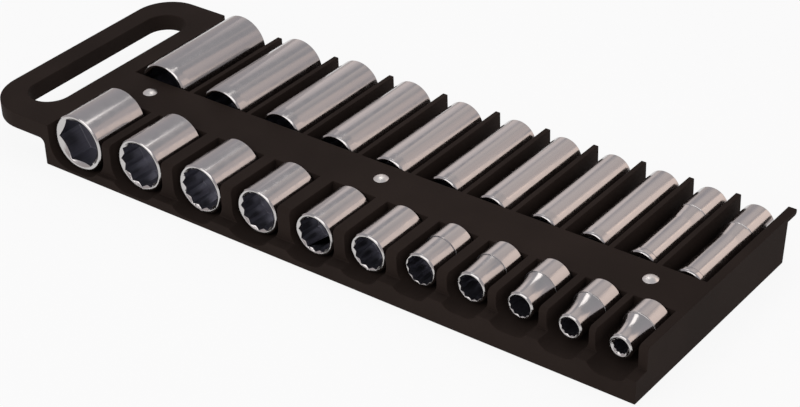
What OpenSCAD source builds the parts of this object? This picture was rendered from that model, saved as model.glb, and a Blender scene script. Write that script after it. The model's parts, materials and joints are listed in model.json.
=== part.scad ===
// Magnetic socket holder: one moulded tray with a handle at its left end, a row of
// shallow sockets in front of a flat web and a row of deep sockets behind it.
// The hollow web carries a magnet bar that three rivets hold up. Sizes in millimetres.
// X runs along the rows, Y to the back, Z up. The origin is under the middle of the tray.

/* [Tray] */
// Height of the moulding, from its base to the flat top of the web
tray_h = 23.2; // [21:0.2:28]
// Wall thickness of the moulding
wall = 2.2; // [1.8:0.1:2.4]
// Length of the shallow pockets, from the front edge to the web
front_pocket_l = 38.4; // [38:0.2:46]
// Width of the web between the two rows
web_w = 25.8; // [24:0.2:32]
// Thickness of the web's top
web_top = 2.5; // [2:0.1:3.5]
// Depth of the rear floor, from the web to its back edge
rear_floor_l = 61.8; // [56:0.2:66]
// How far the dividers reach past the rear floor
divider_over = 7.5; // [4:0.5:9]
// How far the handle and the end lip reach past the dividers
lip_over = 3.1; // [2:0.1:5]
// Thickness of the dividers behind the web
divider_t = 2.8; // [2:0.1:3.4]
// Thickness of the wall between the handle and the rows
left_wall = 3; // [2.4:0.1:4]
// Thickness of the right end wall
end_wall = 4.4; // [4:0.1:6]
// Thickness of the lip at the back of the end wall
lip_t = 2.8; // [2:0.1:4]
// Rounding of the top front edge of each divider before the web
front_round = 2.5; // [1:0.5:3]
// How far each of these dividers, and last the end wall, stands back from the front
front_setback = [2.5, 4.8, 6, 6.4, 6.4, 6.2, 6.2, 6.8, 8, 8, 8.8]; // [1:0.2:12]
// Height of the sill before them, above the pocket floors beside it
sill_rise = 3.6; // [2:0.2:5]
// Roundness of the pockets' bottom corners, as a share of their half width
pocket_round = 0.7; // [0.4:0.05:1]

/* [Handle] */
// Reach of the handle past the left wall
handle_out = 43.2; // [38:0.2:60]
// Thickness of the handle
handle_t = 9; // [7:0.2:11]
// Width of the bar that the fingers close round
grip_w = 12.1; // [11:0.1:16]
// Width of the finger slot
slot_w = 23; // [18:0.5:24]
// Room between the finger slot's ends and the tray's front and back edges
slot_end = 14.9; // [12:0.1:20]
// Radius of the handle's front corner
corner_front = 24; // [14:1:26]
// Radius of the handle's back corner
corner_back = 20; // [14:1:26]
// Radius of the fillet under the handle, beside the tray
handle_fillet = 3; // [1:0.5:5]
// Spacing of the stiffening ribs under the handle
rib_pitch = 22; // [14:1:34]

/* [Sockets] */
// Outer diameter of each socket at its drive end, largest size first
socket_od = [30, 27.4, 25.4, 23.6, 21.6, 19.6, 18, 17.3, 17.3, 17.3, 17.3]; // [17:0.1:31]
// Size of each socket across the flats
socket_af = [22.3, 20.7, 19.1, 17.5, 15.9, 14.3, 12.8, 11.2, 9.6, 8, 6.4]; // [6.4:0.1:23]
// Diameter of each shallow socket at its nose
nose_od = [30, 27.4, 25.4, 23.6, 21.6, 19.6, 16.6, 15.4, 13.4, 12.2, 11.8]; // [10:0.1:31]
// Length of each shallow socket
shallow_l = [33.5, 31, 30.5, 30, 30, 29.8, 29, 28.5, 28.5, 28.5, 27.4]; // [26:0.1:34]
// Length of a deep socket
deep_l = 63.5; // [58:0.1:66]
// Side of the square drive hole
drive_sq = 9.65; // [9.6:0.01:9.8]
// Depth of the square drive hole
drive_deep = 10.5; // [9:0.1:12]
// Bevel round the nose of each socket
nose_bevel = 0.7; // [0.3:0.1:0.9]
// Length of the slight taper behind a deep socket's nose
taper_l = 6; // [3:0.5:9]
// How much smaller in radius that taper is at the nose
taper_in = 0.35; // [0.1:0.05:0.6]
// Bevel round the drive end of each socket
drive_bevel = 1.1; // [0.5:0.1:1.4]
// Share of a shallow socket's length that the hexagon takes
broach_share = 0.42; // [0.3:0.01:0.5]
// Depth of a deep socket's hexagon
deep_broach = 19; // [14:0.5:26]
// Diameter of the shank of the two smallest deep sockets
shank_od = 14.8; // [13.5:0.1:16]
// Length of the drive end of the two smallest deep sockets
shank_head = 19; // [14:0.5:24]

/* [Rows] */
// Space between the left wall and the first socket of each row
first_gap = 2.9; // [2.6:0.1:6]
// Space between each shallow socket and the next
front_gap = [8.9, 10.9, 10.3, 11.1, 10.1, 9.7, 9.3, 8.1, 7.8, 6.9]; // [6:0.1:14]
// Space between each deep socket and the next
rear_gap = [9.8, 10.3, 9.7, 10, 10, 9.1, 9.3, 8.8, 7.7, 6.7]; // [6:0.1:14]
// Space between the last deep socket and the end wall
last_gap = 2.2; // [1.8:0.1:5]
// Space between the last shallow socket and the end wall
end_side = 1.2; // [0.6:0.1:4]
// Side clearance between a shallow socket and its pocket
pocket_side = 1.8; // [1:0.1:2]
// Height of each shallow pocket's floor at its lowest line
front_floor = [1.8, 1.8, 1.8, 2.4, 3.2, 5.6, 8, 9.2, 9.8, 9, 8.2]; // [1.6:0.1:12]
// Height of each rear groove's lowest line
rear_floor = [2.2, 2.2, 2.2, 2.8, 3.8, 4.8, 6.8, 6.4, 6.2, 5.8, 5.2]; // [1.6:0.1:12]
// How deep a deep socket nests in its groove
nest_deep = 1.6; // [0.8:0.1:2.4]
// Gap behind each shallow socket, to the web
shallow_back = [1.9, 1.4, 0.6, 0.5, 0.5, 0.5, 0.5, 0.5, 0.5, 0.5, 0.5]; // [0.4:0.1:4]
// Gap in front of each deep socket, to the web
deep_front = [0.6, 1.3, 2.5, 2.3, 1.5, 3.3, 1.8, 3.1, 3.8, 4.4, 3.9]; // [0.4:0.1:6]
// Gap left under a socket where it rests in its pocket
rest_gap = 0.3; // [0.2:0.05:0.5]

/* [Magnet bar] */
// Thickness of the two steel pole plates
pole_t = 2; // [1.5:0.1:3]
// Clearance between the pole plates and the walls of the web
pole_gap = 0.15; // [0.1:0.05:0.3]
// Thickness of the strip that closes the magnet bar
cover_t = 2; // [1.5:0.1:3]
// Length of one magnet block
magnet_l = 42; // [30:1:44]
// Number of magnet blocks between two rivets
magnets_per_span = 3; // [1:1:3]
// Distance between neighbouring rivets
rivet_span = 145.2; // [130:0.2:150]
// How far the rivets stand behind the middle of the web
rivet_back = 1.2; // [-2:0.1:2]
// Diameter of a rivet's shank
rivet_d = 3.8; // [3:0.1:4.5]
// Diameter of a rivet's head
rivet_head_d = 7.4; // [6:0.1:9]
// Height of a rivet's head
rivet_head_h = 1.6; // [0.8:0.1:2]
// Wall round each rivet's hole in the tray
boss_wall = 2.2; // [1.6:0.1:3]

/* [Hidden] */
SIZES = ["7_8", "13_16", "3_4", "11_16", "5_8", "9_16", "1_2", "7_16", "3_8", "5_16", "1_4"];
LAST = len(SIZES) - 1;
SHALLOW = [for (s = SIZES) str("shallow_socket_", s)];
DEEP = [for (s = SIZES) str("deep_socket_", s)];
TRAY_PARTS = ["tray", "front_pole_plate", "rear_pole_plate", "magnets", "magnet_cover", "rivets"];

// Fineness of round outlines
$fn = 64;
// Overlap that lets one shape cut cleanly through another
cut = 1;
// Running clearance round a rivet and its tail
rivet_gap = 0.2;
// Sizes with a neck between nose and drive end start at this place in the lists
first_necked = 6;
// The two smallest deep sockets have a shank
first_shank = 9;

// Places along Y
web_front = front_pocket_l;
web_back = web_front + web_w;
web_mid = (web_front + web_back) / 2;
floor_end = web_back + rear_floor_l;
divider_end = floor_end + divider_over;
tray_back = divider_end + lip_over;

// Places along X, measured from the outside of the left wall
function shallow_x(i) = i == 0 ? left_wall + first_gap + socket_od[0] / 2
    : shallow_x(i - 1) + (socket_od[i - 1] + socket_od[i]) / 2 + front_gap[i - 1];
function deep_x(i) = i == 0 ? left_wall + first_gap + socket_od[0] / 2
    : deep_x(i - 1) + (socket_od[i - 1] + socket_od[i]) / 2 + rear_gap[i - 1];
row_end = max(deep_x(LAST) + socket_od[LAST] / 2 + last_gap,
    shallow_x(LAST) + socket_od[LAST] / 2 + end_side);
body_l = row_end + end_wall;
row_mid = (left_wall + row_end) / 2;
// The rivets stand at equal distances along the web, a little behind its middle
function rivet_x(k) = row_mid + (k - 1) * rivet_span;
rivet_y = web_mid + rivet_back;

// The cavity of the web, which holds the magnet bar
cavity_y = web_front + wall;
cavity_w = web_w - 2 * wall;
cavity_h = tray_h - web_top;
cavity_l = row_end - left_wall;
magnet_w = cavity_w - 2 * (pole_t + pole_gap);

// Axis heights of the sockets
function shallow_z(i) = front_floor[i] + rest_gap + socket_od[i] / 2;
function deep_z(i) = rear_floor[i] + rest_gap + socket_od[i] / 2;
// Bore between the hexagon and the drive hole, clear of both
function through_r(i) = min(0.48 * drive_sq, 0.47 * socket_af[i]);
function broach_l(i) = broach_share * shallow_l[i];

// Stands the model on the middle of its base
module placed() {
    translate([(handle_out - body_l) / 2, -tray_back / 2, 0]) children();
}

// Runs a Y-Z outline along X from x to x + l
module along_x(x, l) {
    translate([x, 0, 0]) rotate([90, 0, 90]) linear_extrude(l) children();
}

// Runs an X-Z outline along Y from y to y + l
module along_y(y, l) {
    translate([0, y + l, 0]) rotate([90, 0, 0]) linear_extrude(l) children();
}

// Outline, in Y and Z, of what is cut away before and above a divider's front end
module notch_outline(back, low) {
    translate([-cut, low]) square([back + cut, tray_h]);
    difference() {
        translate([back - cut, tray_h - front_round])
            square([front_round + cut, front_round + cut]);
        translate([back + front_round, tray_h - front_round]) circle(front_round);
    }
}

// Notches before the dividers, one between each two pocket centres
module front_notches(more) {
    for (i = [0 : LAST]) {
        x1 = i == LAST ? body_l + cut : shallow_x(i + 1);
        low = (front_floor[i] + front_floor[min(i + 1, LAST)]) / 2 + sill_rise;
        along_x(shallow_x(i), x1 - shallow_x(i)) notch_outline(front_setback[i] + more, low - more);
    }
}

// Outline of a divider behind the web: upright tip, then a slope down to the floor
module divider_outline(back) {
    polygon([
        [web_mid, 0], [floor_end, 0], [floor_end, rear_floor[0]],
        [back, tray_h / 2], [back, tray_h], [web_mid, tray_h]
    ]);
}

// Outline of the end wall: nearly upright back edge with a lip at the top
module end_outline() {
    slope = (divider_over + lip_over) / 4;
    polygon([
        [0, 0], [floor_end, 0], [floor_end + slope, tray_h - lip_t],
        [tray_back - 1, tray_h - lip_t], [tray_back, tray_h - lip_t + 1], [tray_back, tray_h],
        [0, tray_h]
    ]);
}

// Outline of a pocket with rounded bottom corners, grown by `more` on every side
module pocket_outline(i, more) {
    half = socket_od[i] / 2 + pocket_side;
    r = pocket_round * half;
    translate([shallow_x(i), front_floor[i]]) {
        for (side = [-1, 1]) translate([side * (half - r), r]) circle(r + more);
        translate([r - half, -more]) square([2 * (half - r), r + more]);
        translate([-half - more, r]) square([2 * (half + more), tray_h]);
    }
}

// Shallow pockets, open at the front and the top
module front_pockets() {
    for (i = [0 : LAST]) along_y(-cut, web_front + cut) pocket_outline(i, 0);
}

// Hollow under the front block: what is left inside its walls between the pockets
module front_core() {
    difference() {
        along_x(left_wall, row_end - left_wall)
            translate([wall, -cut]) square([web_front - wall, tray_h - wall + cut]);
        for (i = [0 : LAST]) along_y(0, web_front + cut) pocket_outline(i, wall);
        front_notches(wall);
    }
}

// Floor under one deep socket, grooved along its middle and hollow underneath
module rear_floor_slab(i) {
    x0 = i == 0 ? 0 : deep_x(i - 1) + socket_od[i - 1] / 2 + rear_gap[i - 1] / 2;
    x1 = i == LAST ? body_l : deep_x(i) + socket_od[i] / 2 + rear_gap[i] / 2;
    top = rear_floor[i] + nest_deep;
    groove_r = socket_od[i] / 2 + rest_gap;
    difference() {
        translate([x0, web_mid, 0]) cube([x1 - x0, floor_end - web_mid, top]);
        along_y(web_back, rear_floor_l + cut)
            translate([deep_x(i), deep_z(i)]) circle(groove_r);
        difference() {
            translate([x0 + wall, web_back, -cut])
                cube([x1 - x0 - 2 * wall, rear_floor_l - wall, top - wall + cut]);
            along_y(web_back - cut, rear_floor_l + 2 * cut)
                translate([deep_x(i), deep_z(i)]) circle(groove_r + wall);
        }
    }
}

// Plan of the handle plate, rounded at its two outer corners
module handle_plan(inset) {
    x0 = -handle_out + inset;
    y1 = tray_back - inset;
    r1 = corner_front - inset;
    r2 = corner_back - inset;
    translate([x0 + r1, inset + r1]) circle(r1);
    translate([x0 + r2, y1 - r2]) circle(r2);
    translate([x0 + r1, inset]) square([-x0 - r1, r1]);
    translate([x0, corner_front]) square([-x0, tray_back - corner_front - corner_back]);
    translate([x0 + r2, y1 - r2]) square([-x0 - r2, r2]);
}

// Finger slot with round ends, grown by `more`
module slot_plan(more) {
    r = slot_w / 2 + more;
    x = -handle_out + grip_w + slot_w / 2;
    y0 = slot_end + slot_w / 2;
    y1 = tray_back - slot_end - slot_w / 2;
    translate([x, y0]) circle(r);
    translate([x, y1]) circle(r);
    translate([x - r, y0]) square([2 * r, y1 - y0]);
}

// Handle: a shell open below, with ribs across it
module handle() {
    ribs = floor((tray_back - 2 * wall) / rib_pitch);
    difference() {
        translate([0, 0, tray_h - handle_t]) linear_extrude(handle_t) difference() {
            handle_plan(0);
            slot_plan(0);
        }
        difference() {
            translate([0, 0, tray_h - handle_t - cut])
                linear_extrude(handle_t - wall + cut) difference() {
                    handle_plan(wall);
                    slot_plan(wall);
                    translate([-wall, 0]) square([2 * wall, tray_back]);
                }
            for (k = [1 : ribs])
                translate([-handle_out, k * tray_back / (ribs + 1) - wall / 2, 0])
                    cube([handle_out, wall, tray_h]);
        }
    }
    along_y(0, tray_back - lip_over) translate([0, tray_h - handle_t]) difference() {
        translate([-handle_fillet, -handle_fillet]) square([handle_fillet, handle_fillet]);
        translate([-handle_fillet, -handle_fillet]) circle(handle_fillet);
    }
}

// The one-piece moulding
module tray() {
    color("#2a2523") placed() difference() {
        union() {
            handle();
            difference() {
                cube([body_l, web_back, tray_h]);
                front_pockets();
                front_notches(0);
                front_core();
                translate([left_wall, cavity_y, -cut]) cube([cavity_l, cavity_w, cavity_h + cut]);
            }
            difference() {
                union() {
                    for (i = [0 : LAST]) rear_floor_slab(i);
                    for (i = [0 : LAST - 1])
                        along_x(deep_x(i) + socket_od[i] / 2 + (rear_gap[i] - divider_t) / 2, divider_t)
                            divider_outline(divider_end);
                    along_x(0, left_wall) divider_outline(divider_end);
                    difference() {
                        along_x(row_end, end_wall) end_outline();
                        front_notches(0);
                    }
                }
                translate([left_wall, -cut, -cut])
                    cube([cavity_l, cavity_y + cavity_w + cut, tray_h + 2 * cut]);
            }
            for (k = [0 : 2]) translate([rivet_x(k), rivet_y, cover_t])
                cylinder(h = tray_h - cover_t, r = rivet_d / 2 + rivet_gap + boss_wall);
        }
        for (k = [0 : 2]) translate([rivet_x(k), rivet_y, 0])
            cylinder(h = tray_h + cut, r = rivet_d / 2 + rivet_gap);
    }
}

// One steel pole plate, standing on edge against a wall of the web
module pole_plate(y) {
    color("#8c8d90") placed() translate([left_wall + pole_gap, y, 0])
        cube([cavity_l - 2 * pole_gap, pole_t, cavity_h]);
}

// Ceramic magnet blocks, side by side between the rivets
module magnets() {
    span = rivet_span - 2 * (rivet_d / 2 + rivet_gap + boss_wall);
    space = span / magnets_per_span;
    color("#3a3a3c") placed() for (s = [0 : 1], m = [0 : magnets_per_span - 1])
        translate([
            row_mid + (s - 0.5) * rivet_span - span / 2 + (m + 0.5) * space - magnet_l / 2,
            cavity_y + pole_gap + pole_t, cover_t
        ])
            cube([magnet_l, magnet_w, cavity_h - cover_t]);
}

// Strip that closes the magnet bar from below, countersunk for the rivets' tails
module magnet_cover() {
    color("#6f7174") placed() difference() {
        translate([left_wall + pole_gap, cavity_y + pole_gap + pole_t, 0])
            cube([cavity_l - 2 * pole_gap, magnet_w, cover_t]);
        for (k = [0 : 2]) translate([rivet_x(k), rivet_y, 0]) {
            cylinder(h = cover_t + cut, r = rivet_d / 2 + rivet_gap);
            translate([0, 0, -0.01])
                cylinder(h = cover_t / 2, r1 = rivet_head_d / 2, r2 = rivet_d / 2 + rivet_gap);
        }
    }
}

// Domed rivets through the web, their tails spread in the cover strip
module rivets() {
    dome_r = (pow(rivet_head_d / 2, 2) + pow(rivet_head_h, 2)) / (2 * rivet_head_h);
    color("#b8b3b0") placed() for (k = [0 : 2]) translate([rivet_x(k), rivet_y, 0]) {
        translate([0, 0, rivet_gap]) cylinder(h = tray_h, r = rivet_d / 2);
        translate([0, 0, rivet_gap])
            cylinder(h = cover_t / 2 - rivet_gap, r1 = rivet_head_d / 2 - 2 * rivet_gap, r2 = rivet_d / 2);
        translate([0, 0, tray_h]) intersection() {
            cylinder(h = rivet_head_h, r = rivet_head_d / 2);
            translate([0, 0, rivet_head_h - dome_r]) sphere(dome_r);
        }
    }
}

// Half outline of a straight socket, nose at the bottom, with its first stretch tapered by `t`
module plain_half(l, r, t) {
    polygon([
        [0, 0], [r - t - nose_bevel, 0], [r - t, nose_bevel], [r, taper_l],
        [r, l - drive_bevel], [r - drive_bevel, l], [0, l]
    ]);
}

// Half outline of a socket whose neck flares in an arc from the nose to the drive end
module necked_half(l, r, nose_r) {
    ledge = 0.45;
    nose_l = 0.12 * l;
    ledge_y = 0.55 * l;
    rise = r - ledge - nose_r;
    run = ledge_y - nose_l;
    arc_r = (rise * rise + run * run) / (2 * rise);
    polygon([[0, 0], [nose_r - nose_bevel, 0], [nose_r, nose_bevel], [nose_r, nose_l], [0, nose_l]]);
    difference() {
        translate([0, nose_l]) square([r - ledge, run]);
        translate([nose_r + arc_r, nose_l]) circle(arc_r, $fn = 180);
    }
    polygon([[0, ledge_y], [r, ledge_y], [r, l - drive_bevel], [r - drive_bevel, l], [0, l]]);
}

// Half outline of a deep socket with a slim shank and a collar at its nose
module shank_half(l, r) {
    shank_r = shank_od / 2;
    collar_l = 3;
    collar_r = (r + shank_r) / 2;
    slope_l = 0.16 * l;
    head_y = l - shank_head;
    polygon([
        [0, 0], [collar_r - nose_bevel, 0], [collar_r, nose_bevel], [collar_r, collar_l],
        [shank_r, 1.4 * collar_l], [shank_r, head_y - slope_l], [r - 0.3, head_y],
        [r, head_y], [r, l - drive_bevel], [r - drive_bevel, l], [0, l]
    ]);
}

// What is cut out of a socket: the hexagon or the twelve points with their lead-in,
// the bore behind them, and the square drive hole with its four detent dimples
module socket_cuts(i, l, broach, nose_r, points) {
    af = socket_af[i];
    corner_r = af / 2 / cos(30);
    lead_r = min(nose_r - nose_bevel - 0.3, corner_r + 1);
    dimple_r = 1.9;
    translate([0, 0, -0.01])
        cylinder(h = (lead_r - af / 2) * 0.6, r1 = lead_r, r2 = af / 2);
    for (turn = [0 : 30 : points == 12 ? 30 : 0]) rotate([0, 0, turn])
        translate([0, 0, -cut]) cylinder(h = broach + cut, r = corner_r, $fn = 6);
    cylinder(h = l, r = through_r(i));
    translate([-drive_sq / 2, -drive_sq / 2, l - drive_deep])
        cube([drive_sq, drive_sq, drive_deep + cut]);
    translate([0, 0, l - 0.8]) cylinder(h = 0.81, r1 = drive_sq / 2, r2 = drive_sq / 2 + 0.8);
    for (turn = [0, 90]) translate([0, 0, l - drive_deep / 2]) rotate([90, 0, turn])
        cylinder(h = drive_sq + 1.2, r = dimple_r, center = true);
}

// Lays a socket down with its nose to the front, at x, y and axis height z
module laid(x, y, z) {
    placed() translate([x, y, z]) rotate([-90, 0, 0]) children();
}

module shallow_socket(i) {
    r = socket_od[i] / 2;
    l = shallow_l[i];
    color("#b9b2ad") laid(shallow_x(i), web_front - shallow_back[i] - l, shallow_z(i)) difference() {
        rotate_extrude() if (i < first_necked) plain_half(l, r, 0);
            else necked_half(l, r, nose_od[i] / 2);
        socket_cuts(i, l, broach_l(i), nose_od[i] / 2, i == 0 ? 6 : 12);
    }
}

module deep_socket(i) {
    r = socket_od[i] / 2;
    nose_r = i < first_shank ? r - taper_in : (r + shank_od / 2) / 2;
    color("#b9b2ad") laid(deep_x(i), web_back + deep_front[i], deep_z(i)) difference() {
        rotate_extrude() if (i < first_shank) plain_half(deep_l, r, taper_in);
            else shank_half(deep_l, r);
        socket_cuts(i, deep_l, deep_broach, nose_r, i == 0 ? 6 : 12);
        if (socket_af[i] > drive_sq)
            cylinder(h = deep_l - drive_deep - 3, r = 0.47 * socket_af[i]);
    }
}

tray();
pole_plate(cavity_y + pole_gap);  // front_pole_plate
pole_plate(cavity_y + cavity_w - pole_gap - pole_t);  // rear_pole_plate
magnets();
magnet_cover();
rivets();
for (i = [0 : LAST]) shallow_socket(i);
for (i = [0 : LAST]) deep_socket(i);
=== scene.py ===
"""Magnetic socket holder: finishes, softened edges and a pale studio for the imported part."""

import json
from math import hypot, pi, radians, tan

import bpy
from mathutils import Matrix, Vector

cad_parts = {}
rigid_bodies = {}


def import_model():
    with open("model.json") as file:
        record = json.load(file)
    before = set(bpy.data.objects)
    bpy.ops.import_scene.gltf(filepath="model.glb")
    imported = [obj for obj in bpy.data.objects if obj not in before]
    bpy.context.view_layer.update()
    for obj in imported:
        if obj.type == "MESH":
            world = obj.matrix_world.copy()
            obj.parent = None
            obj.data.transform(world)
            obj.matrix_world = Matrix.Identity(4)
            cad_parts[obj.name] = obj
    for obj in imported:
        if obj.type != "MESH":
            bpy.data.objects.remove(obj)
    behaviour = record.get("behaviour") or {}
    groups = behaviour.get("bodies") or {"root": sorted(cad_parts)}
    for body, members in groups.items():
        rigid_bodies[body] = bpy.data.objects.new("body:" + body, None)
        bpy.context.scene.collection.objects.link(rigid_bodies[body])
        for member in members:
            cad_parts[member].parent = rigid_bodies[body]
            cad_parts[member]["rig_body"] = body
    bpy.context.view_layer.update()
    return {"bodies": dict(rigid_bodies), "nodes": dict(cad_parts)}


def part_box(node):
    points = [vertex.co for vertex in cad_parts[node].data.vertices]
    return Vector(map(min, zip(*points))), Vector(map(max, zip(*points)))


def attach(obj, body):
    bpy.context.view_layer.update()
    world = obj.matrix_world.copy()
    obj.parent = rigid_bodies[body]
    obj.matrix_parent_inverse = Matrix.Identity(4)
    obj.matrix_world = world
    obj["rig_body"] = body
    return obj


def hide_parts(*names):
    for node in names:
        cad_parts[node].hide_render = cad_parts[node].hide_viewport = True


bl_info = {
    "name": "Magnetic Socket Holder",
    "version": (1, 0, 0),
    "blender": (4, 5, 0),
    "location": "3D View > Sidebar > Socket Holder",
    "description": "Dresses the moulded tray, its magnet bar and its sockets, and sets the studio",
    "category": "Object",
}

MM = 0.001

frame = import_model()
BODIES = list(frame["bodies"])
HOLDER = "holder"
SOCKET_BODIES = [body for body in BODIES if body != HOLDER]
TRAY_LOW, TRAY_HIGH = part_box("tray")

# How a CAD node's copy is softened
MERGE_WITHIN = 1e-6  # points that lie closer than this, in metres, are merged
FLAT_WITHIN = radians(0.1)  # faces that lie this close to one plane become one face
ROUNDED_FROM = radians(32)  # edges sharper than this are rounded
ROUNDING_STEPS = 2  # faces across one rounded edge
SMOOTH_BELOW = radians(28)  # edges flatter than this are shaded smooth
RIM_SHARE = 0.4  # largest part of a socket's flat rim that one rounded edge may take
ON_NOSE = 0.01 * MM  # how far behind the nose's plane a point may lie and still count as on it
RING_STEP = 0.05 * MM  # how far the rim's inner points lie inside its outer ring, at least

# Where a socket's bore starts and ends, from its nose and from its drive end
BEHIND_NOSE = 1.6 * MM
BEFORE_DRIVE_END = 1.2 * MM
WALL_COSINE = 0.25  # a wall of the bore faces the socket's axis by more than this cosine
STEP_COSINE = 0.9  # a step in the bore faces along the axis by more than this cosine

STRIP_LINE = 0.35 * MM  # spacing of the rolling lines on the steel and aluminium strips
FLOOR_GAP = 0.4 * MM  # how far the floor lies under the tray
PAPER_GLOW = 0.9  # share of plain white where the eye, metal or glass sees the paper
NO_GRID = 180  # spread in degrees of a lamp without a grid
SENSOR_WIDTH = 36.0  # of the camera, in millimetres

# Colours of the room by height, from 0 at the horizon to 1 straight overhead
ROOM_COLOURS = [(0.05, "#C2B9B8"), (0.5, "#B6B3B8"), (0.95, "#AEAEB2")]

# Each lamp: name, place, the point that it looks at, width and height in metres, radiance, colour,
# and the spread in degrees that its grid leaves.
TRAY_MIDDLE = tuple((TRAY_LOW + TRAY_HIGH) / 2)
LAMPS = [
    # Lights the front walls and the noses from afar
    ("front_softbox", (-0.1, -1.6, 1.1), TRAY_MIDDLE, 1.6, 1.0, 1.5, "#FFFDFB", NO_GRID),
    # The warm bright band low on the sockets' right sides, strongest on the smallest
    ("rear_softbox", (0.39, 0.27, 0.18), (0.3, -0.1, 0), 0.3, 0.26, 0.85, "#FFE2CC", 110),
    # The shoulder of that band, which falls on the middle of the rows
    ("shoulder_softbox", (0.16, 0.28, 0.28), (0, -0.02, 0), 0.2, 0.18, 0.3, "#FFDFC8", 60),
    # The paler tops of the smaller sockets
    ("top_softbox", (0.06, 0.31, 0.35), (0.16, -0.05, 0), 0.3, 0.25, 0.34, "#FFE8D6", 50),
    # The thin bright band on their left sides
    ("left_softbox", (-0.21, 0.31, 0.18), (0.12, 0, 0), 0.2, 0.2, 0.42, "#FFEEE4", 70),
    # The bright patches on the flared necks and on the rivets
    ("overhead_softbox", (-0.09, 0.1, 0.46), (0.13, -0.04, 0), 0.24, 0.2, 1.5, "#FFFBF7", NO_GRID),
]


def linear(hex_colour):
    """Linear red, green and blue of an sRGB hex colour."""
    parts = [int(hex_colour[k : k + 2], 16) / 255 for k in (1, 3, 5)]
    return [c / 12.92 if c <= 0.04045 else ((c + 0.055) / 1.055) ** 2.4 for c in parts]


def colour_property(name, description, hex_colour):
    return bpy.props.FloatVectorProperty(
        name=name,
        description=description,
        default=linear(hex_colour),
        subtype="COLOR",
        min=0,
        max=1,
    )


def length_property(name, description, metres):
    return bpy.props.FloatProperty(
        name=name,
        description=description,
        default=metres,
        min=0,
        subtype="DISTANCE",
        unit="LENGTH",
    )


def factor_property(name, description, value):
    return bpy.props.FloatProperty(
        name=name, description=description, default=value, min=0, max=1, subtype="FACTOR"
    )


class TraySettings(bpy.types.PropertyGroup):
    colour: colour_property("Colour", "Black of the moulded plastic", "#2F2723")
    edge: length_property("Edge radius", "Rounding that the mould gives every edge", 0.35 * MM)
    grain: length_property("Grain", "Width of one grain of the mould's spark texture", 0.55 * MM)
    roughness: factor_property("Roughness", "Roughness of the moulded surface", 0.7)


class SocketSettings(bpy.types.PropertyGroup):
    colour: colour_property("Chrome", "Colour of the satin chrome plate", "#C4C1C0")
    bore_colour: colour_property("Bore", "Colour of the thinly plated broached bore", "#9A9AA2")
    edge: length_property("Edge radius", "Rounding of the turned and broached edges", 0.22 * MM)
    turning: length_property("Turning marks", "Spacing of the fine rings left by turning", 0.7 * MM)
    roughness: factor_property("Roughness", "Roughness of the tumbled and plated surface", 0.17)


class MagnetBarSettings(bpy.types.PropertyGroup):
    steel: colour_property("Pole plates", "Colour of the rolled steel strip", "#A3A19D")
    ferrite: colour_property("Magnets", "Colour of the sintered ferrite blocks", "#34343A")
    cover: colour_property("Cover", "Colour of the aluminium strip underneath", "#BDBEC0")
    rivet: colour_property("Rivets", "Colour of the headed aluminium rivets", "#F0ECE8")
    edge: length_property("Edge radius", "Rounding of the rivets' heads", 0.15 * MM)


class StageSettings(bpy.types.PropertyGroup):
    floor_colour: colour_property("Floor", "Colour of the pale studio floor", "#F7F7F7")
    floor_width: length_property("Floor width", "Side of the square studio floor", 9.0)
    azimuth: bpy.props.FloatProperty(
        name="Camera azimuth",
        description="Turn of the camera about the vertical, from looking along +Y towards -X",
        default=radians(38.162),
        subtype="ANGLE",
        unit="ROTATION",
    )
    elevation: bpy.props.FloatProperty(
        name="Camera elevation",
        description="How steeply the camera looks down",
        default=radians(32.458),
        subtype="ANGLE",
        unit="ROTATION",
    )
    roll: bpy.props.FloatProperty(
        name="Camera roll",
        description="Turn of the camera about its own line of sight",
        default=radians(-2.152),
        subtype="ANGLE",
        unit="ROTATION",
    )
    camera_place: bpy.props.FloatVectorProperty(
        name="Camera place",
        description="Where the camera stands, in the part's own frame",
        default=(0.5422, -0.6657, 0.5390),
        subtype="XYZ_LENGTH",
        unit="LENGTH",
    )
    lens: bpy.props.FloatProperty(
        name="Lens",
        description="Focal length in millimetres on a sensor 36 mm wide",
        default=95.19,
        min=10,
        unit="CAMERA",
    )


def deselect_all():
    bpy.ops.object.select_all(action="DESELECT")


def make_active(piece):
    deselect_all()
    piece.select_set(True)
    bpy.context.view_layer.objects.active = piece


def apply_modifiers(piece):
    make_active(piece)
    for name in [modifier.name for modifier in piece.modifiers]:
        bpy.ops.object.modifier_apply(modifier=name)


def keep_inside(piece, low, high):
    """Puts the few corner points that the rounding pushed past the node's box back onto it."""
    for vertex in piece.data.vertices:
        for axis in range(3):
            vertex.co[axis] = min(max(vertex.co[axis], low[axis]), high[axis])


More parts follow.
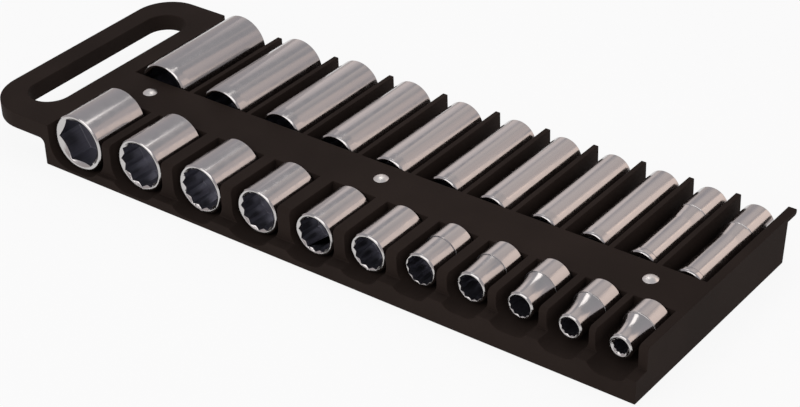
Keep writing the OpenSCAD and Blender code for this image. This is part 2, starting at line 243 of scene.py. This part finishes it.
def softened_copy(node, piece_name, edge):
    """A merged copy of a CAD node whose sharp edges are rounded, and which then stands for it."""
    source = frame["nodes"][node]
    mesh = source.data.copy()
    mesh.name = piece_name
    piece = bpy.data.objects.new(piece_name, mesh)
    bpy.context.scene.collection.objects.link(piece)
    make_active(piece)
    bpy.ops.object.mode_set(mode="EDIT")
    bpy.ops.mesh.select_all(action="SELECT")
    bpy.ops.mesh.remove_doubles(threshold=MERGE_WITHIN)
    bpy.ops.mesh.dissolve_limited(angle_limit=FLAT_WITHIN, delimit={"NORMAL"})
    bpy.ops.mesh.normals_make_consistent(inside=False)
    bpy.ops.object.mode_set(mode="OBJECT")
    bevel = piece.modifiers.new("Softened edges", "BEVEL")
    bevel.width = edge
    bevel.segments = ROUNDING_STEPS
    bevel.limit_method = "ANGLE"
    bevel.angle_limit = ROUNDED_FROM
    bevel.use_clamp_overlap = False
    bevel.loop_slide = True
    apply_modifiers(piece)
    keep_inside(piece, *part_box(node))
    bpy.ops.object.shade_smooth_by_angle(angle=SMOOTH_BELOW)
    straight = piece.modifiers.new("Normals led by the large faces", "WEIGHTED_NORMAL")
    straight.keep_sharp = True
    apply_modifiers(piece)
    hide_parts(node)
    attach(piece, source["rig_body"])
    return piece


def set_material(piece, material):
    piece.data.materials.clear()
    piece.data.materials.append(material)


def start_material(name):
    """An empty node material and its tree."""
    material = bpy.data.materials.get(name) or bpy.data.materials.new(name)
    material.use_nodes = True
    material.node_tree.nodes.clear()
    return material, material.node_tree


def add(tree, kind, inputs=None, **settings):
    """Adds a node with its settings. An input is a value, or a (node, output) pair to link."""
    node = tree.nodes.new(kind)
    for key, value in settings.items():
        setattr(node, key, value)
    for key, value in (inputs or {}).items():
        if isinstance(value, tuple) and isinstance(value[0], bpy.types.Node):
            tree.links.new(value[0].outputs[value[1]], node.inputs[key])
        else:
            node.inputs[key].default_value = value
    return node


def rgba(colour, gain=1.0):
    """The colour times a gain, with full alpha, as a shader socket takes it."""
    return [min(1.0, c * gain) for c in colour] + [1.0]


def noise(tree, width, detail, roughness=0.5, squeeze=None):
    """Noise with grains about this wide, squeezed along some axes where lines are wanted."""
    place = (add(tree, "ShaderNodeTexCoord"), "Object")
    if squeeze:
        place = (add(tree, "ShaderNodeMapping", {"Vector": place, "Scale": squeeze}), "Vector")
    inputs = {"Vector": place, "Scale": 1 / width, "Detail": detail, "Roughness": roughness}
    return add(tree, "ShaderNodeTexNoise", inputs), "Fac"


def tinted(tree, factor, colour, gains, ends=(0, 1)):
    """The colour times one gain where a factor is low, and times another where it is high."""
    ramp = add(tree, "ShaderNodeValToRGB", {"Fac": factor})
    for stop, end, gain in zip(ramp.color_ramp.elements, ends, gains):
        stop.position = end
        stop.color = rgba(colour, gain)
    return ramp, "Color"


def mapped(tree, factor, ends, new_ends):
    """A factor with the range between two ends mapped to two new ends."""
    names = ("From Min", "From Max", "To Min", "To Max")
    inputs = {"Value": factor, **dict(zip(names, (*ends, *new_ends)))}
    return add(tree, "ShaderNodeMapRange", inputs), "Result"


def bumped(tree, height, strength, depth):
    """A normal that a height disturbs."""
    inputs = {"Height": height, "Strength": strength, "Distance": depth}
    return add(tree, "ShaderNodeBump", inputs), "Normal"


def finish(tree, inputs):
    """Ends a material's tree in a principled surface."""
    surface = add(tree, "ShaderNodeBsdfPrincipled", inputs)
    add(tree, "ShaderNodeOutputMaterial", {"Surface": (surface, "BSDF")})


def spark_textured_plastic(settings):
    """Injection-moulded black polypropylene from a spark-eroded mould.

    The eye sees an almost even soft black, faintly mottled, with a fine leathery
    grain that breaks up what little sheen it has.
    """
    material, tree = start_material("spark_textured_black_polypropylene")
    grain = noise(tree, settings.grain, detail=3, roughness=0.6)
    flow = noise(tree, 38 * MM, detail=2)
    rough = settings.roughness
    inputs = {
        "Base Color": tinted(tree, flow, settings.colour, (0.9, 1.12), ends=(0.35, 0.68)),
        "Roughness": mapped(tree, grain, (0.3, 0.7), (rough - 0.06, rough + 0.08)),
        "Normal": bumped(tree, grain, strength=0.22, depth=0.05 * MM),
        "IOR": 1.49,
        "Specular IOR Level": 0.05,
    }
    finish(tree, inputs)
    return material


def satin_chrome(settings):
    """Forged steel that was turned, tumbled and chrome plated.

    The eye sees a clear but slightly veiled mirror, with hair-fine rings from the
    lathe round each socket and a faint cloudiness from tumbling.
    """
    material, tree = start_material("tumbled_satin_chrome")
    rings = noise(
        tree, settings.turning, detail=3, roughness=0.65, squeeze=(0.02, 1, 0.02)
    )
    cloud = noise(tree, 5 * MM, detail=3)
    rough = settings.roughness
    inputs = {
        "Base Color": tinted(tree, cloud, settings.colour, (0.95, 1.03)),
        "Metallic": 1,
        "Roughness": mapped(tree, cloud, (0.35, 0.65), (rough - 0.03, rough + 0.05)),
        "Normal": bumped(tree, rings, strength=0.12, depth=0.02 * MM),
    }
    finish(tree, inputs)
    return material


def broached_bore(settings):
    """Broached steel that the plating bath hardly reached.

    The eye sees a dark, bluish hollow with fine scratches along the broach's path.
    """
    material, tree = start_material("broached_steel_bore")
    scratches = noise(tree, 0.45 * MM, detail=2, squeeze=(1, 0.04, 1))
    inputs = {
        "Base Color": tinted(tree, scratches, settings.bore_colour, (0.7, 1.15)),
        "Metallic": 1,
        "Roughness": 0.36,
        "Normal": bumped(tree, scratches, strength=0.2, depth=0.03 * MM),
    }
    finish(tree, inputs)
    return material


def rolled_strip(name, colour, roughness):
    """Rolled metal strip: the eye sees fine parallel lines along its length."""
    material, tree = start_material(name)
    lines = noise(tree, STRIP_LINE, detail=3, squeeze=(0.02, 1, 1))
    inputs = {
        "Base Color": tinted(tree, lines, colour, (0.8, 1.08)),
        "Metallic": 1,
        "Roughness": roughness,
        "Normal": bumped(tree, lines, strength=0.25, depth=0.02 * MM),
    }
    finish(tree, inputs)
    return material


def sintered_ferrite(settings):
    """Sintered and ground ferrite: the eye sees a dull dark grey stone with fine pits."""
    material, tree = start_material("sintered_ferrite")
    pits = noise(tree, 0.6 * MM, detail=4)
    inputs = {
        "Base Color": tinted(tree, pits, settings.ferrite, (0.7, 1.3)),
        "Roughness": 0.7,
        "Normal": bumped(tree, pits, strength=0.4, depth=0.08 * MM),
        "IOR": 1.6,
    }
    finish(tree, inputs)
    return material


def headed_aluminium(settings):
    """Soft aluminium headed in a press: the eye sees a bright satin dome, faintly dimpled."""
    material, tree = start_material("headed_aluminium")
    dents = noise(tree, 0.9 * MM, detail=2)
    inputs = {
        "Base Color": tinted(tree, dents, settings.rivet, (0.9, 1.05)),
        "Metallic": 1,
        "Roughness": 0.38,
        "Normal": bumped(tree, dents, strength=0.2, depth=0.04 * MM),
    }
    finish(tree, inputs)
    return material


def larger(tree, first, second):
    """The larger of two factors."""
    return add(tree, "ShaderNodeMath", {0: first, 1: second}, operation="MAXIMUM"), "Value"


def mixed(tree, share, first, second):
    """Two shaders mixed by the second one's share."""
    return add(tree, "ShaderNodeMixShader", {0: share, 1: first, 2: second}), "Shader"


def studio_paper(settings):
    """Matt white paper floor, which is clear from below.

    It stays white to the eye and in metal or glass, and keeps a soft shadow.
    """
    material, tree = start_material("white_studio_paper")
    rays = add(tree, "ShaderNodeLightPath")
    seen = larger(tree, (rays, "Is Camera Ray"), (rays, "Is Glossy Ray"))
    seen = larger(tree, seen, (rays, "Is Transmission Ray"))
    share = add(tree, "ShaderNodeMath", {0: seen, 1: PAPER_GLOW}, operation="MULTIPLY")
    paper = add(tree, "ShaderNodeBsdfDiffuse", {"Color": rgba(settings.floor_colour)})
    white = add(tree, "ShaderNodeEmission", {"Color": (1, 1, 1, 1), "Strength": 1.0})
    lit = mixed(tree, (share, "Value"), (paper, "BSDF"), (white, "Emission"))
    side = add(tree, "ShaderNodeNewGeometry")
    clear = add(tree, "ShaderNodeBsdfTransparent")
    surface = mixed(tree, (side, "Backfacing"), lit, (clear, "BSDF"))
    add(tree, "ShaderNodeOutputMaterial", {"Surface": surface})
    return material


def nose_rim(node):
    """Narrowest width of the flat ring round a lying socket's broached mouth."""
    low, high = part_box(node)
    middle = (low + high) / 2
    radii = [
        hypot(vertex.co.x - middle.x, vertex.co.z - middle.z)
        for vertex in frame["nodes"][node].data.vertices
        if vertex.co.y < low.y + ON_NOSE
    ]
    outer = max(radii)
    return outer - max(radius for radius in radii if radius < outer - RING_STEP)


def split_bore(piece, node, bore_material):
    """Gives the walls and the steps inside a lying socket a second material, the bore's."""
    low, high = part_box(node)
    middle = (low + high) / 2
    piece.data.materials.append(bore_material)
    within = [
        (face, Vector((face.center.x - middle.x, 0, face.center.z - middle.z)))
        for face in piece.data.polygons
        if low.y + BEHIND_NOSE < face.center.y < high.y - BEFORE_DRIVE_END
    ]
    walls = [
        (face, out)
        for face, out in within
        if -face.normal.dot(out.normalized()) > WALL_COSINE
    ]
    reach = max(out.length for _, out in walls)
    steps = [
        (face, out)
        for face, out in within
        if abs(face.normal.y) > STEP_COSINE and out.length < reach
    ]
    for face, _ in walls + steps:
        face.material_index = 1


class SOCKETHOLDER_OT_tray(bpy.types.Operator):
    """Rounds the moulded tray's edges and gives it its textured plastic"""

    bl_idname = "socketholder.tray"
    bl_label = "Moulded tray"

    def execute(self, context):
        settings = context.scene.socket_tray
        piece = softened_copy("tray", "moulded_tray", settings.edge)
        set_material(piece, spark_textured_plastic(settings))
        return {"FINISHED"}


class SOCKETHOLDER_OT_magnet_bar(bpy.types.Operator):
    """Finishes the magnet bar inside the web: pole plates, magnets and cover strip"""

    bl_idname = "socketholder.magnet_bar"
    bl_label = "Magnet bar"

    def execute(self, context):
        settings = context.scene.socket_magnet_bar
        steel = rolled_strip("rolled_pole_steel", settings.steel, 0.42)
        cover = rolled_strip("rolled_aluminium_strip", settings.cover, 0.34)
        finishes = {
            "front_pole_plate": steel,
            "rear_pole_plate": steel,
            "magnets": sintered_ferrite(settings),
            "magnet_cover": cover,
        }
        for node, material in finishes.items():
            set_material(frame["nodes"][node], material)
        return {"FINISHED"}


class SOCKETHOLDER_OT_rivets(bpy.types.Operator):
    """Softens the three headed rivets on the web"""

    bl_idname = "socketholder.rivets"
    bl_label = "Rivets"

    def execute(self, context):
        settings = context.scene.socket_magnet_bar
        piece = softened_copy("rivets", "headed_rivets", settings.edge)
        set_material(piece, headed_aluminium(settings))
        return {"FINISHED"}


class SOCKETHOLDER_OT_sockets(bpy.types.Operator):
    """Rounds and plates the shallow and the deep sockets"""

    bl_idname = "socketholder.sockets"
    bl_label = "Sockets"

    def execute(self, context):
        settings = context.scene.socket_finish
        chrome = satin_chrome(settings)
        bore = broached_bore(settings)
        for body in SOCKET_BODIES:
            row, size = body.split("_", 1)
            node = f"{row}_socket_{size}"
            edge = min(settings.edge, RIM_SHARE * nose_rim(node))
            piece = softened_copy(node, f"{row}_plated_{size}", edge)
            set_material(piece, chrome)
            split_bore(piece, node, bore)
        return {"FINISHED"}


def softbox(name, place, aim, width, height, radiance, colour, spread):
    """A soft lamp that looks from its place at a point, seen there at this radiance."""
    turn = (Vector(aim) - Vector(place)).to_track_quat("-Z", "Y").to_euler()
    bpy.ops.object.light_add(type="AREA", location=place, rotation=turn)
    lamp = bpy.context.object
    lamp.name = name
    lamp.data.shape = "RECTANGLE"
    lamp.data.size = width
    lamp.data.size_y = height
    lamp.data.spread = radians(spread)
    # Blender brightens the middle of the beam as a grid narrows it, which the energy makes up for
    half = radians(spread) / 2
    gain = 1 if spread == NO_GRID else tan(half) / (tan(half) - half)
    lamp.data.energy = radiance * pi * width * height / gain
    lamp.data.color = linear(colour)


def studio_world():
    """Soft grey room: warmer near the floor, a little dimmer and cooler overhead."""
    world = bpy.context.scene.world or bpy.data.worlds.new("studio_room")
    bpy.context.scene.world = world
    world.use_nodes = True
    tree = world.node_tree
    tree.nodes.clear()
    direction = add(tree, "ShaderNodeTexCoord")
    parts = add(tree, "ShaderNodeSeparateXYZ", {"Vector": (direction, "Generated")})
    height = mapped(tree, (parts, "Z"), (0, 1), (0, 1))
    room = add(tree, "ShaderNodeValToRGB", {"Fac": height})
    stops = room.color_ramp.elements
    stops.new(0.5)
    for stop, (position, colour) in zip(stops, ROOM_COLOURS):
        stop.position = position
        stop.color = rgba(linear(colour))
    light = add(tree, "ShaderNodeBackground", {"Color": (room, "Color"), "Strength": 1.0})
    add(tree, "ShaderNodeOutputWorld", {"Surface": (light, "Background")})


class SOCKETHOLDER_OT_stage(bpy.types.Operator):
    """Sets the pale floor, the soft lamps, the room and the camera"""

    bl_idname = "socketholder.stage"
    bl_label = "Studio"

    def execute(self, context):
        settings = context.scene.socket_stage
        under_tray = (0, 0, TRAY_LOW.z - FLOOR_GAP)
        bpy.ops.mesh.primitive_plane_add(size=settings.floor_width, location=under_tray)
        floor = context.object
        floor.name = "studio_floor"
        bpy.ops.object.transform_apply(location=True, rotation=True, scale=True)
        set_material(floor, studio_paper(settings))

        for lamp in LAMPS:
            softbox(*lamp)
        studio_world()

        camera_data = bpy.data.cameras.new("photo_camera")
        camera = bpy.data.objects.new("photo_camera", camera_data)
        context.scene.collection.objects.link(camera)
        camera_data.sensor_width = SENSOR_WIDTH
        camera_data.lens = settings.lens
        turn = (
            Matrix.Rotation(settings.azimuth, 4, "Z")
            @ Matrix.Rotation(pi / 2 - settings.elevation, 4, "X")
            @ Matrix.Rotation(settings.roll, 4, "Z")
        )
        camera.matrix_world = Matrix.Translation(settings.camera_place) @ turn
        context.scene.camera = camera
        context.scene.view_settings.view_transform = "Standard"
        return {"FINISHED"}


class SOCKETHOLDER_PT_panel(bpy.types.Panel):
    """Lists the holder's sizes, colours and steps"""

    bl_idname = "SOCKETHOLDER_PT_panel"
    bl_label = "Socket Holder"
    bl_space_type = "VIEW_3D"
    bl_region_type = "UI"
    bl_category = "Socket Holder"

    def draw(self, context):
        layout = self.layout
        for group, operators in PANEL_ROWS:
            box = layout.box()
            settings = getattr(context.scene, group)
            for name in settings.__annotations__:
                box.prop(settings, name)
            for operator in operators:
                box.operator(operator.bl_idname)


SETTINGS = {
    "socket_tray": TraySettings,
    "socket_magnet_bar": MagnetBarSettings,
    "socket_finish": SocketSettings,
    "socket_stage": StageSettings,
}
PANEL_ROWS = [
    ("socket_tray", [SOCKETHOLDER_OT_tray]),
    ("socket_magnet_bar", [SOCKETHOLDER_OT_magnet_bar, SOCKETHOLDER_OT_rivets]),
    ("socket_finish", [SOCKETHOLDER_OT_sockets]),
    ("socket_stage", [SOCKETHOLDER_OT_stage]),
]
CLASSES = [
    *SETTINGS.values(),
    SOCKETHOLDER_OT_tray,
    SOCKETHOLDER_OT_magnet_bar,
    SOCKETHOLDER_OT_rivets,
    SOCKETHOLDER_OT_sockets,
    SOCKETHOLDER_OT_stage,
    SOCKETHOLDER_PT_panel,
]


def register():
    for cls in CLASSES:
        bpy.utils.register_class(cls)
    for name, group in SETTINGS.items():
        setattr(bpy.types.Scene, name, bpy.props.PointerProperty(type=group))


def unregister():
    for name in SETTINGS:
        delattr(bpy.types.Scene, name)
    for cls in reversed(CLASSES):
        bpy.utils.unregister_class(cls)


def main():
    register()
    bpy.ops.socketholder.tray()
    bpy.ops.socketholder.magnet_bar()
    bpy.ops.socketholder.rivets()
    bpy.ops.socketholder.sockets()
    bpy.ops.socketholder.stage()


if __name__ == "__main__":
    main()
